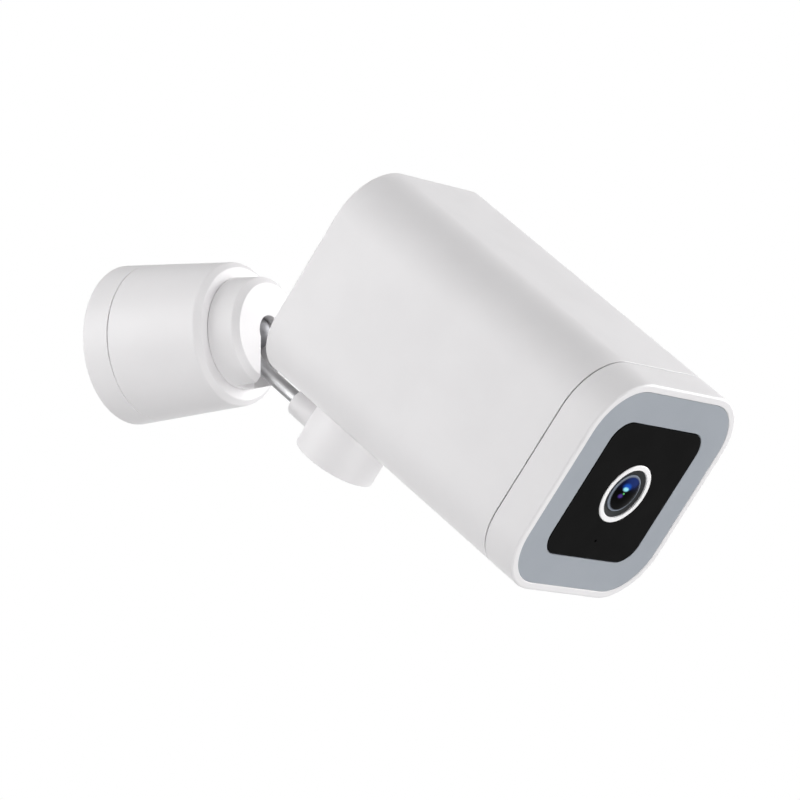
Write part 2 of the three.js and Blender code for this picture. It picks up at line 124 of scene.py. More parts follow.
def rounded(corners: Sequence[Corner], closed: bool = True, steps: int = 7) -> list[tuple[float, float]]:
    """Turns an outline's corners into points, with each rounded corner as an arc.

    Args:
        corners: The outline's corners in order.
        closed: Whether the last corner leads back to the first.
        steps: How many straight pieces an arc has.

    Returns:
        The outline's points as (reach, depth).
    """
    points: list[tuple[float, float]] = []
    for i, corner in enumerate(corners):
        here = Vector(corner[:2])
        at_end = not closed and i in (0, len(corners) - 1)
        if corner.round <= 0 or at_end:
            points.append((here.x, here.y))
            continue
        back = Vector(corners[i - 1][:2]) - here
        ahead = Vector(corners[(i + 1) % len(corners)][:2]) - here
        half = back.angle(ahead) / 2
        cut = min(corner.round / math.tan(half), 0.49 * back.length, 0.49 * ahead.length)
        radius = cut * math.tan(half)
        middle = here + (back.normalized() + ahead.normalized()).normalized() * (radius / math.sin(half))
        first = here + back.normalized() * cut - middle
        last = here + ahead.normalized() * cut - middle
        start = math.atan2(first.y, first.x)
        sweep = (math.atan2(last.y, last.x) - start + math.pi) % math.tau - math.pi
        for k in range(steps + 1):
            angle = start + sweep * k / steps
            points.append((middle.x + radius * math.cos(angle), middle.y + radius * math.sin(angle)))
    return points


def circle(reach: float, depth: float, sides: int) -> Ring:
    """A ring of points round the z axis.

    Args:
        reach: Radius of the ring. A ring of no radius is one point.
        depth: Place along z.
        sides: How many points it has.

    Returns:
        The ring's points.
    """
    if reach < 1e-6:
        return [Vector((0, 0, depth))]
    angles = [math.tau * k / sides for k in range(sides)]
    return [Vector((reach * math.cos(a), reach * math.sin(a), depth)) for a in angles]


def rounded_box(width: float, height: float, corner: float, depth: float, steps: int = 18) -> Ring:
    """A rectangle with round corners at one depth.

    Args:
        width: Size along x.
        height: Size along y.
        corner: Radius of the corners.
        depth: Place along z.
        steps: How many straight pieces each corner has.

    Returns:
        The ring's points, anticlockwise seen from the front.
    """
    corner = max(corner, 0.05)
    ring: Ring = []
    for quarter, (sx, sy) in enumerate(((1, 1), (-1, 1), (-1, -1), (1, -1))):
        x = sx * (width / 2 - corner)
        y = sy * (height / 2 - corner)
        for k in range(steps + 1):
            angle = math.pi / 2 * (quarter + k / steps)
            ring.append(Vector((x + corner * math.cos(angle), y + corner * math.sin(angle), depth)))
    return ring


def skin(rings: Sequence[Ring], closed: bool = False) -> bmesh.types.BMesh:
    """Covers a row of rings with faces, so that they form one closed body.

    Args:
        rings: The rings in order. A ring of one point is a tip, and the others have equally many points.
        closed: Whether the last ring joins the first. Otherwise a face closes each end.

    Returns:
        The body with its faces pointing out.
    """
    body = bmesh.new()
    rows = [[body.verts.new(point) for point in ring] for ring in rings]
    pairs = list(zip(rows, rows[1:]))
    if closed:
        pairs.append((rows[-1], rows[0]))
    for low, high in pairs:
        count = max(len(low), len(high))
        for k in range(count):
            after = (k + 1) % count
            corners = [low[k % len(low)], low[after % len(low)], high[after % len(high)], high[k % len(high)]]
            body.faces.new(list(dict.fromkeys(corners)))
    if not closed:
        for row in (rows[0], rows[-1]):
            if len(row) > 2:
                body.faces.new(row)
    bmesh.ops.recalc_face_normals(body, faces=body.faces)
    return body


def turned(corners: Sequence[Corner], closed: bool = True, sides: int = 144) -> bmesh.types.BMesh:
    """A body of revolution about z. An outline that isn't closed starts and ends on the axis."""
    return skin([circle(reach, depth, sides) for reach, depth in rounded(corners, closed)], closed)


def bar(radius: float, start: float, end: float, edge: float = 0.0, sides: int = 64) -> bmesh.types.BMesh:
    """A round bar along z with its edges softened."""
    corners = [Corner(0, start), Corner(radius, start, edge), Corner(radius, end, edge), Corner(0, end)]
    return turned(corners, closed=False, sides=sides)


def moved(body: bmesh.types.BMesh, matrix: Matrix) -> bmesh.types.BMesh:
    """The same body after a move."""
    bmesh.ops.transform(body, matrix=matrix, verts=body.verts)
    return body


def shifted(body: bmesh.types.BMesh, x: float, y: float, z: float = 0.0) -> bmesh.types.BMesh:
    """The same body after a shift."""
    return moved(body, Matrix.Translation((x, y, z)))


def upright(body: bmesh.types.BMesh) -> bmesh.types.BMesh:
    """A body made along z, turned so that it runs up along y."""
    return moved(body, Matrix.Rotation(-math.pi / 2, 4, "X"))


def sideways(body: bmesh.types.BMesh) -> bmesh.types.BMesh:
    """A body made along z, turned so that it runs along x."""
    return moved(body, Matrix.Rotation(math.pi / 2, 4, "Y"))


def worked(body: bmesh.types.BMesh, tools: Sequence[bmesh.types.BMesh], cut: Cut) -> bmesh.types.BMesh:
    """Cuts tools out of a body, or joins them to it.

    Args:
        body: The body to work on. It is used up.
        tools: The bodies to cut away or to join. They are used up.
        cut: Whether they are cut away or joined.

    Returns:
        The body that is left.
    """
    workpiece = loose_object("workpiece", body)
    others = [loose_object("tool", tool) for tool in tools]
    for other in others:
        step = workpiece.modifiers.new("step", "BOOLEAN")
        step.operation = cut.value
        step.solver = "EXACT"
        step.object = other
    bpy.context.view_layer.update()
    shape = workpiece.evaluated_get(bpy.context.evaluated_depsgraph_get()).to_mesh()
    result = bmesh.new()
    result.from_mesh(shape)
    for scrap in (workpiece, *others):
        mesh = scrap.data
        bpy.data.objects.remove(scrap)
        bpy.data.meshes.remove(mesh)
    bmesh.ops.remove_doubles(result, verts=result.verts, dist=1e-4)
    return result


def loose_object(name: str, body: bmesh.types.BMesh) -> bpy.types.Object:
    """Puts a body into the scene as an object.

    Args:
        name: The object's name.
        body: Its mesh. It is used up.

    Returns:
        The object.
    """
    mesh = bpy.data.meshes.new(name)
    body.to_mesh(mesh)
    body.free()
    thing = bpy.data.objects.new(name, mesh)
    bpy.context.scene.collection.objects.link(thing)
    return thing


# ---- Finishes ------------------------------------------------------------------------------------


class Graph:
    """The node tree of one material."""

    def __init__(self, name: str) -> None:
        """Starts a material with its shader.

        Args:
            name: The material's name.
        """
        self.material = bpy.data.materials.new(name)
        self.material.use_nodes = True
        self.tree = self.material.node_tree
        self.shader = next(n for n in self.tree.nodes if n.type == "BSDF_PRINCIPLED")

    def node(self, kind: str, settings: dict[str, Any] | None = None, **inputs: Any) -> bpy.types.Node:
        """Adds a node.

        Args:
            kind: The node's type, such as ShaderNodeTexNoise.
            settings: Values of the node's own properties.
            **inputs: A value or another node's output for each input, by its name in lower case.

        Returns:
            The new node.
        """
        made = self.tree.nodes.new(kind)
        for key, value in (settings or {}).items():
            setattr(made, key, value)
        self.fill([socket for socket in reversed(made.inputs) if socket.enabled], inputs)
        return made

    def feed(self, **inputs: Any) -> None:
        """Gives the shader's inputs their values or links, by their names in lower case."""
        self.fill(self.shader.inputs, inputs)

    def fill(self, sockets: Sequence[bpy.types.NodeSocket], inputs: dict[str, Any]) -> None:
        """Gives sockets their values or links.

        Args:
            sockets: The sockets to choose from. Where two share a name, the later one is filled.
            inputs: A value or another node's output for each name in lower case.
        """
        named = {socket.name.lower().replace(" ", "_"): socket for socket in sockets}
        for key, value in inputs.items():
            if isinstance(value, bpy.types.NodeSocket):
                self.tree.links.new(value, named[key])
            else:
                named[key].default_value = value

    def place(self, stretch: tuple[float, float, float] = (1, 1, 1)) -> bpy.types.NodeSocket:
        """Coordinates in millimetres in the piece's own axes.

        Args:
            stretch: How far the pattern on them is squeezed along each axis.

        Returns:
            The coordinates.
        """
        coordinates = self.node("ShaderNodeTexCoord").outputs["Object"]
        scale = tuple(s / MM for s in stretch)
        return self.node("ShaderNodeMapping", vector=coordinates, scale=scale).outputs["Vector"]

    def noise(self, place: bpy.types.NodeSocket, size: float, detail: float = 2.0) -> bpy.types.NodeSocket:
        """Cloudy noise whose features are about size millimetres wide."""
        texture = self.node("ShaderNodeTexNoise", vector=place, scale=1 / size, detail=detail)
        return texture.outputs["Fac"]

    def fade(self, value: bpy.types.NodeSocket, low: float, high: float, start: float,
             end: float) -> bpy.types.NodeSocket:
        """Maps a value from one span to another, smoothly.

        Args:
            value: The value to map.
            low: The value that gives start.
            high: The value that gives end.
            start: The result at or below low.
            end: The result at or above high.

        Returns:
            The mapped value.
        """
        smooth = {"interpolation_type": "SMOOTHSTEP"}
        made = self.node("ShaderNodeMapRange", smooth, value=value, from_min=low, from_max=high,
                         to_min=start, to_max=end)
        return made.outputs["Result"]

    def blend(self, share: bpy.types.NodeSocket, first: Any, second: Any) -> bpy.types.NodeSocket:
        """Mixes two colours by a share that varies over the surface.

        Args:
            share: How much of the second colour there is, from 0 to 1.
            first: A colour, or a node's output.
            second: A colour, or a node's output.

        Returns:
            The mixed colour.
        """
        mix = self.tree.nodes.new("ShaderNodeMix")
        mix.data_type = "RGBA"
        self.tree.links.new(share, mix.inputs["Factor"])
        for socket, colour in zip((mix.inputs[6], mix.inputs[7]), (first, second)):
            if isinstance(colour, bpy.types.NodeSocket):
                self.tree.links.new(colour, socket)
            else:
                socket.default_value = (*colour, 1)
        return mix.outputs[2]

    def relief(self, height: bpy.types.NodeSocket, depth: float, strength: float = 1.0) -> None:
        """Raises the surface by a pattern that is depth millimetres deep."""
        bump = self.node("ShaderNodeBump", height=height, distance=depth * MM, strength=strength)
        self.feed(normal=bump.outputs["Normal"])


@dataclass(frozen=True)
class Finish:
    """A surface finish. Colours are linear.

    Attributes:
        name: The material's name.
        slot: The record's slot.
        colour: The main colour.
        shade: The colour it drifts towards in patches.
        roughness: How dull the gloss is, from 0 to 1.
    """

    name: str
    slot: Slot
    colour: Colour
    shade: Colour
    roughness: float

    def material(self) -> bpy.types.Material:
        """The finish as a material, made once.

        Returns:
            The material.
        """
        found = bpy.data.materials.get(self.name)
        if found:
            return found
        graph = Graph(self.name)
        self.paint(graph)
        return graph.material

    def paint(self, graph: Graph) -> None:
        """Gives the material its colour, gloss and relief."""
        raise NotImplementedError


@dataclass(frozen=True)
class Moulded(Finish):
    """Moulded plastic or rubber with a fine grain.

    Attributes:
        grain: Width of the grain in millimetres.
        depth: Depth of the grain in millimetres.
        gloss: Strength of the reflection at right angles.
        glow: How much light wanders inside the material.
    """

    grain: float = 0.35
    depth: float = 0.012
    gloss: float = 0.5
    glow: float = 0.0

    def paint(self, graph: Graph) -> None:
        """Patches of slightly different colour and gloss over a fine grain.

        Args:
            graph: The material's node tree.
        """
        place = graph.place()
        patches = graph.noise(place, 28, 3)
        grain = graph.noise(place, self.grain, 3)
        colour = graph.blend(graph.fade(patches, 0.35, 0.7, 0, 1), self.colour, self.shade)
        rough = graph.fade(graph.noise(place, 6, 4), 0.3, 0.7, self.roughness - 0.03, self.roughness + 0.03)
        graph.feed(base_color=colour, roughness=rough, specular_ior_level=self.gloss)
        if self.glow > 0:
            graph.feed(subsurface_weight=self.glow, subsurface_radius=(1, 1, 1), subsurface_scale=1.5 * MM)
        graph.relief(grain, self.depth)


@dataclass(frozen=True)
class Gloss(Finish):
    """Hard smooth plastic with a faint wave in its gloss.

    Attributes:
        gloss: Strength of the reflection at right angles.
        clear: Weight of a clear coat on top.
    """

    gloss: float = 0.5
    clear: float = 0.0

    def paint(self, graph: Graph) -> None:
        """A nearly even colour with fine dust in its gloss.

        Args:
            graph: The material's node tree.
        """
        place = graph.place()
        colour = graph.blend(graph.fade(graph.noise(place, 14, 2), 0.3, 0.75, 0, 1), self.colour, self.shade)
        dust = graph.noise(place, 0.5, 4)
        rough = graph.fade(dust, 0.35, 0.75, self.roughness, self.roughness + 0.06)
        graph.feed(base_color=colour, roughness=rough, specular_ior_level=self.gloss, coat_weight=self.clear)
        graph.relief(graph.noise(place, 9, 1), 0.01)


@dataclass(frozen=True)
class Machined(Finish):
    """Metal with fine lines from the tool that finished it.

    Attributes:
        along: How far the pattern is stretched along x, y and z. A small number makes long lines.
        depth: Depth of the lines in millimetres.
    """

    along: tuple[float, float, float] = (1.0, 1.0, 1.0)
    depth: float = 0.006

    def paint(self, graph: Graph) -> None:
        """Fine lines that vary in gloss, over patches of slightly darker metal.

        Args:
            graph: The material's node tree.
        """
        lines = graph.noise(graph.place(self.along), 0.35, 4)
        patches = graph.noise(graph.place(), 7, 3)
        colour = graph.blend(graph.fade(patches, 0.35, 0.75, 0, 1), self.colour, self.shade)
        rough = graph.fade(lines, 0.3, 0.7, self.roughness - 0.06, self.roughness + 0.08)
        graph.feed(base_color=colour, metallic=1.0, roughness=rough)
        graph.relief(lines, self.depth)


@dataclass(frozen=True)
class Board(Finish):
    """Circuit board with copper tracks under its lacquer.

    Attributes:
        track: Colour of the tracks.
    """

    track: Colour = (0.05, 0.2, 0.09)

    def paint(self, graph: Graph) -> None:
        """Tracks as the borders of a pattern of irregular cells.

        Args:
            graph: The material's node tree.
        """
        place = graph.place()
        cells = graph.node("ShaderNodeTexVoronoi", {"feature": "DISTANCE_TO_EDGE"}, vector=place, scale=0.35)
        tracks = graph.fade(cells.outputs["Distance"], 0.02, 0.06, 1, 0)
        colour = graph.blend(tracks, self.colour, self.track)
        graph.feed(base_color=colour, roughness=self.roughness, coat_weight=0.3)
        graph.relief(tracks, 0.03)


class PaintedReflection(NamedTuple):
    """A painted reflection: a soft oval spot of colour painted on the glass.

    Attributes:
        x: Place along x in millimetres, in the piece's own axes.
        y: Place along y.
        width: Half its width in millimetres.
        height: Half its height.
        colour: Its colour.
    """

    x: float
    y: float
    width: float
    height: float
    colour: Colour


@dataclass(frozen=True)
class PaintedReflectionGlass(Finish):
    """Front glass of the lens, with reflections painted on it: a painted blue tint towards the top and
    painted glints, fixed on the glass.

    Attributes:
        radius: The glass's radius in millimetres.
        rim: Colour of the painted highlight, a light ring round the edge of the glass.
        painted_reflections: The painted reflections and glints, from the deepest to the topmost.
    """

    radius: float = GLASS_RADIUS
    # Painted highlight round the glass's edge.
    rim: Colour = (0.22, 0.25, 0.30)
    painted_reflections: tuple[PaintedReflection, ...] = ()

    def paint(self, graph: Graph) -> None:
        """Black at the bottom and a painted blue reflection towards the top, with painted glints and a
        painted highlight round the edge.

        Args:
            graph: The material's node tree.
        """
        place = graph.place()
        height = graph.node("ShaderNodeSeparateXYZ", vector=place).outputs["Y"]
        # Painted reflection: the glass turns deep blue towards the top, where the coating would reflect the
        # light.
        colour = graph.blend(graph.fade(height, 0.5, 0.9 * self.radius, 0, 1), self.colour, self.shade)
        # Painted glints and coloured reflections, each painted as a soft oval spot of colour.
        for reflection_spot in self.painted_reflections:
            spot = self.oval(graph, place, reflection_spot.x, reflection_spot.y, reflection_spot.width, reflection_spot.height)
            colour = graph.blend(graph.fade(spot, 0.3, 1.0, 1, 0), colour, reflection_spot.colour)
        # Painted highlight: a light bluish-grey ring round the glass's edge.
        reach = self.oval(graph, place, 0, 0, self.radius, self.radius)
        colour = graph.blend(graph.fade(reach, 0.86, 0.97, 0, 1), colour, self.rim)
        rough = graph.fade(reach, 0.94, 0.965, self.roughness, 0.4)
        graph.feed(base_color=colour, roughness=rough, specular_ior_level=0.06)

    def oval(self, graph: Graph, place: bpy.types.NodeSocket, x: float, y: float, width: float,
             height: float) -> bpy.types.NodeSocket:
        """Distance from an oval's middle, as a share of its half width and half height.

        Args:
            graph: The material's node tree.
            place: Coordinates in millimetres.
            x: The middle's place along x.
            y: The middle's place along y.
            width: Half the oval's width.
            height: Half the oval's height.

        Returns:
            The distance, which is 1 on the oval's edge.
        """
        share = graph.node("ShaderNodeMapping", {"vector_type": "TEXTURE"}, vector=place, location=(x, y, 0),
                           scale=(width, height, 1e6))
        length = {"operation": "LENGTH"}
        reach = graph.node("ShaderNodeVectorMath", length, vector=share.outputs["Vector"])
        return reach.outputs["Value"]


WHITE = Moulded("white shell", Slot.WHITE_SHELL, (0.80, 0.788, 0.797), (0.78, 0.768, 0.777), 0.48)
TRIM = Gloss("white trim", Slot.WHITE_TRIM, (0.94, 0.93, 0.93), (0.91, 0.90, 0.91), 0.35)
FROSTED = Moulded("frosted diffuser", Slot.FROSTED, (0.365, 0.392, 0.43), (0.35, 0.377, 0.415), 0.38,
                  grain=0.25, depth=0.006, glow=0.25)
PANEL = Gloss("black panel", Slot.BLACK_PANEL, (0.005, 0.005, 0.005), (0.0065, 0.0065, 0.0065), 0.22,
              gloss=0.06)
DARK = Moulded("dark plastic", Slot.DARK_PLASTIC, (0.03, 0.031, 0.034), (0.04, 0.041, 0.044), 0.5, gloss=0.35)
HOOD = Moulded("lens hood", Slot.DARK_PLASTIC, (0.02, 0.021, 0.022), (0.026, 0.027, 0.028), 0.42,
               grain=0.2, gloss=0.3)
# Painted reflections on the lens glass: a deep blue tint near the top, a painted cyan highlight, a violet
# spot and a green dot.
PAINTED_REFLECTIONS = (
    PaintedReflection(0.6, 5.4, 5.4, 3.4, (0.012, 0.027, 0.13)),
    PaintedReflection(-2.0, 3.2, 3.2, 1.9, (0.010, 0.08, 0.45)),
    PaintedReflection(-2.3, 2.2, 2.1, 1.2, (0.35, 0.85, 0.95)),
    PaintedReflection(-3.2, -0.85, 1.7, 1.3, (0.07, 0.035, 0.24)),
    PaintedReflection(-2.2, 0.35, 0.75, 0.55, (0.12, 0.55, 0.16)),
)
# The lens glass's colour is painted reflection: black below, deep blue above, with painted spots.
LENS = PaintedReflectionGlass("glass with painted reflections", Slot.LENS_GLASS, (0.0004, 0.0004, 0.0006), (0.007, 0.012, 0.06), 0.14,
                   painted_reflections=PAINTED_REFLECTIONS)
STEEL = Machined("satin steel", Slot.STEEL, (0.56, 0.56, 0.57), (0.50, 0.50, 0.51), 0.5,
                 along=(1, 0.06, 0.06))
# Painted shade: the ball's steel is much darker than the rod's, standing in for the shade inside the collar's
# hole.
BALL_STEEL_PAINTED_SHADE = Machined("ball steel with painted shade", Slot.STEEL, (0.26, 0.26, 0.27), (0.22, 0.22, 0.23), 0.55,
                      along=(1, 0.1, 1))
SCREW_STEEL = Machined("screw steel", Slot.STEEL, (0.52, 0.52, 0.53), (0.44, 0.44, 0.45), 0.28)
BRASS = Machined("brass", Slot.BRASS, (0.62, 0.40, 0.13), (0.52, 0.33, 0.11), 0.28)
ALUMINIUM = Machined("cast aluminium", Slot.ALUMINIUM, (0.55, 0.56, 0.57), (0.48, 0.49, 0.5), 0.42)
RUBBER = Moulded("seal rubber", Slot.RUBBER, (0.035, 0.036, 0.038), (0.05, 0.05, 0.053), 0.8, grain=0.5,
                 gloss=0.25)
SLIP = Moulded("slip plastic", Slot.SLIP_PLASTIC, (0.66, 0.65, 0.6), (0.6, 0.59, 0.54), 0.45)
CIRCUIT = Board("circuit board", Slot.CIRCUIT, (0.008, 0.075, 0.03), (0.01, 0.09, 0.04), 0.4)
CELL = Gloss("cell wrap", Slot.CELL_WRAP, (0.02, 0.12, 0.32), (0.025, 0.14, 0.36), 0.35)


# ---- Assemblies ----------------------------------------------------------------------------------


@dataclass(frozen=True)
class Axes:
    """The axes of an assembly: x right, y up, z forward.

    Attributes:
        origin: Where they meet, in the frame, in metres.
        up: Direction of y in the frame.
        forward: Direction of z in the frame.
    """

    origin: Vector
    up: Vector
    forward: Vector

    def matrix(self) -> Matrix:
        """The move from these axes to the frame, in metres."""
        turn = Matrix((self.up.cross(self.forward), self.up, self.forward)).transposed()
        return Matrix.Translation(self.origin) @ turn.to_4x4()

    def box(self, node: str) -> tuple[Vector, Vector]:
        """A CAD node's box in these axes.

        Args:
            node: The node's name.

        Returns:
            Its lowest and its highest corner, in millimetres.
        """
        back = self.matrix().inverted()
        points = [back @ vertex.co / MM for vertex in frame["nodes"][node].data.vertices]
        low = Vector([min(p[i] for p in points) for i in range(3)])
        high = Vector([max(p[i] for p in points) for i in range(3)])
        return low, high


def joint(name: str) -> dict[str, Any]:
    """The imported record's joint of that name."""
    return next(j for j in frame["joints"] if j["name"] == name)


@dataclass
class Assembly:
    """Pieces that share one set of axes and ride on one CAD body."""

    axes: Axes
    body: str

    def build(self) -> None:
        """Makes every piece of the assembly."""
        raise NotImplementedError

    def piece(self, name: str, shape: bmesh.types.BMesh, finish: Finish, *nodes: str,
              body: str = "") -> bpy.types.Object:
        """Turns a mesh into a finished piece that rides on the assembly's body.

        Args:
            name: The piece's name.
            shape: The mesh in millimetres in the assembly's axes. It is used up.
            finish: The surface finish.
            *nodes: The CAD nodes that it stands for.
            body: The CAD body it rides on, where that isn't the assembly's own.

        Returns:
            The piece.
        """
        moved(shape, Matrix.Scale(MM, 4))
        made = loose_object(name, shape)
        made.data.shade_smooth()
        made.data.set_sharp_from_angle(angle=math.radians(SHARP_EDGE))
        made.modifiers.new("even_normals", "WEIGHTED_NORMAL").keep_sharp = True
        made.matrix_world = self.axes.matrix()
        made.data.materials.append(finish.material())
        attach(made, body or self.body)
        if nodes:
            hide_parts(*nodes)
        LOG.info("%s: %d faces, rides on %s", name, len(made.data.polygons), body or self.body)
        return made

    def dress(self, finish: Finish, *nodes: str) -> None:
        """Gives CAD nodes that keep their own shape a finish.

        Args:
            finish: The surface finish.
            *nodes: The nodes' names.
        """
        for node in nodes:
            mesh = frame["nodes"][node].data
            mesh.materials.clear()
            mesh.materials.append(finish.material())
            LOG.info("%s: CAD shape with %s", node, finish.name)


@dataclass
class WallBase(Assembly):
    """Plate on the wall and the round housing over it."""

    seam: float = 11.7
    seam_radius: float = 31.1
    shoulder: float = 52.7
    shoulder_radius: float = 28.4
    front_radius: float = 26.2
    wall: float = 3.0
    front_wall: float = 5.0
    seal_outer: float = 18.2  # groove for the neck's seal
    seal_inner: float = 15.9
    seal_groove: float = 1.8
    neck_bore: float = 14.3
    hollow_radius: float = 9.0  # relief in the middle of the plate's back
    hollow_depth: float = 0.6
    groove_inner: float = 22.0  # ring-shaped relief further out
    groove_outer: float = 28.0
    groove_depth: float = 0.8
    lip_outer: float = 27.2  # the plate's lip, inside the housing
    lip_inner: float = 24.8
    lip_end: float = 18.0
    plate_floor: float = 3.5
    fixing_circle: float = 16.0
    fixing_radius: float = 2.2
    lock_depth: float = 15.0
    lock_radius: float = 1.8
    lock_from: float = 24.0
    lock_to: float = 34.0

    def build(self) -> None:
        """Makes the base's pieces."""
        self.plate()
        self.housing()
        self.dress(RUBBER, "neck_seal")
        self.dress(SLIP, "swivel_washer")
        self.dress(SCREW_STEEL, "base_lock_screw")

    def lock_hole(self) -> bmesh.types.BMesh:
        """The lock screw's way in, from below on the right.

        Returns:
            The hole as a body to cut away.
        """
        hole = bar(self.lock_radius, self.lock_from, self.lock_to, sides=32)
        aim = Matrix.Rotation(math.pi / 4, 4, "Z") @ Matrix.Rotation(math.pi / 2, 4, "X")
        return moved(hole, Matrix.Translation((0, 0, self.lock_depth)) @ aim)

    def plate(self) -> None:
        """Wall plate: a deep rim, a lip for the housing, four fixing holes and a relieved back."""
        back = self.axes.box("wall_plate")[1].x
        shape = turned([
            Corner(0, self.hollow_depth), Corner(self.hollow_radius, self.hollow_depth, 0.3),
            Corner(self.hollow_radius, 0, 0.3), Corner(self.groove_inner, 0, 0.3),
            Corner(self.groove_inner, self.groove_depth, 0.3),
            Corner(self.groove_outer, self.groove_depth, 0.3), Corner(self.groove_outer, 0, 0.3),
            Corner(back, 0, 0.5), Corner(self.seam_radius, self.seam, 0.4),
            Corner(self.lip_outer, self.seam, 0.2), Corner(self.lip_outer, self.lip_end, 0.4),
            Corner(self.lip_inner, self.lip_end, 0.4), Corner(self.lip_inner, self.plate_floor, 0.8),
            Corner(0, self.plate_floor),
        ], closed=False)
        holes = []
        for k in range(4):
            angle = math.tau * k / 4
            x = self.fixing_circle * math.cos(angle)
            y = self.fixing_circle * math.sin(angle)
            holes.append(shifted(bar(self.fixing_radius, -1, self.plate_floor + 1.5, sides=32), x, y))
        holes.append(self.lock_hole())
        self.piece("wall_plate_rim", worked(shape, holes, Cut.AWAY), WHITE, "wall_plate")

    def housing(self) -> None:
        """Round housing with a groove for the neck's seal in its front face."""
        front = self.axes.box("base_housing")[1].z
        start = self.seam + GAP
        inside = front - self.front_wall
        groove = front - self.seal_groove
        shape = turned([
            Corner(self.seam_radius - self.wall, start), Corner(self.seam_radius, start, 0.4),
            Corner(self.shoulder_radius, self.shoulder, 1.6), Corner(self.front_radius, front, 0.9),
            Corner(self.seal_outer, front), Corner(self.seal_outer, groove),
            Corner(self.seal_inner, groove), Corner(self.seal_inner, front),
            Corner(self.neck_bore, front), Corner(self.neck_bore, inside),
            Corner(self.shoulder_radius - self.wall, inside, 1.5),
        ])
        self.piece("base_cover", worked(shape, [self.lock_hole()], Cut.AWAY), WHITE, "base_housing")


@dataclass
class Neck(Assembly):
    """Collar that turns on the base and holds the ball."""

    root: float = 55.02
    root_radius: float = 22.2
    shoulder: float = 66.2
    shoulder_radius: float = 21.4
    front_radius: float = 18.9
    spigot_radius: float = 14.0  # the part inside the housing
    spigot_back: float = 42.0
    bore: float = 9.2
    bore_end: float = 59.0
    ball_depth: float = 60.5
    hole_radius: float = 6.0
    slot_width: float = 10.5
    slot_back: float = 57.0
    flare: float = 0.35
    face_spread: float = 1.2  # how much wider each side of the slot gets at the face
    under_rise: float = 0.7  # height above the collar's underside where it widens
    under_drop: float = 2.7
    under_spread: float = 1.3

    def build(self) -> None:
        """Makes the neck's pieces."""
        self.collar()
        self.dress(BRASS, "neck_nut", "spring_plug")
        self.dress(SLIP, "ball_cup")
        self.dress(SCREW_STEEL, "disc_spring_front", "disc_spring_rear")

    def collar(self) -> None:
        """Collar with a keyhole whose slot lets the ball's stem swing down."""
        front = self.axes.box("neck_collar")[1].z
        seat = BALL_RADIUS + GAP
        opening = math.asin(self.hole_radius / seat)
        steps = 10
        arc = []
        for k in range(1, steps + 1):
            angle = opening + (math.pi / 2 - opening) * k / steps
            arc.append(Corner(seat * math.sin(angle), self.ball_depth + seat * math.cos(angle)))
        lip = self.ball_depth + seat * math.cos(opening)
        shape = turned([
            Corner(self.bore, self.spigot_back), Corner(self.spigot_radius, self.spigot_back, 0.4),
            Corner(self.spigot_radius, self.root), Corner(self.root_radius, self.root, 0.35),
            Corner(self.shoulder_radius, self.shoulder, 1.0), Corner(self.front_radius, front, 0.6),
            Corner(self.hole_radius + 0.05, front, self.flare), Corner(self.hole_radius, lip), *arc,
            Corner(seat, self.bore_end), Corner(self.bore, self.bore_end),
        ])
        self.piece("neck_collar_face", worked(shape, [self.slot_tool(front)], Cut.AWAY), WHITE, "neck_collar")

    def slot_tool(self, front: float) -> bmesh.types.BMesh:
        """The slot as a body to cut away: it runs down from the axis and widens at the face and underneath.

        Args:
            front: Depth of the collar's front face.

        Returns:
            The slot's body.
        """
        half = self.slot_width / 2
        widening = self.under_rise - self.shoulder_radius
        sections = (
            (0.0, half),
            (widening, half),
            (widening - self.under_drop, half + self.under_spread),
        )
        past_face = front + self.face_spread - self.flare
        rings = []
        for height, width in sections:
            wide = width + self.face_spread
            rings.append([
                Vector((-width, height, self.slot_back)), Vector((width, height, self.slot_back)),
                Vector((width, height, front - self.flare)), Vector((wide, height, past_face)),
                Vector((-wide, height, past_face)), Vector((-width, height, front - self.flare)),
            ])
        return skin(rings)


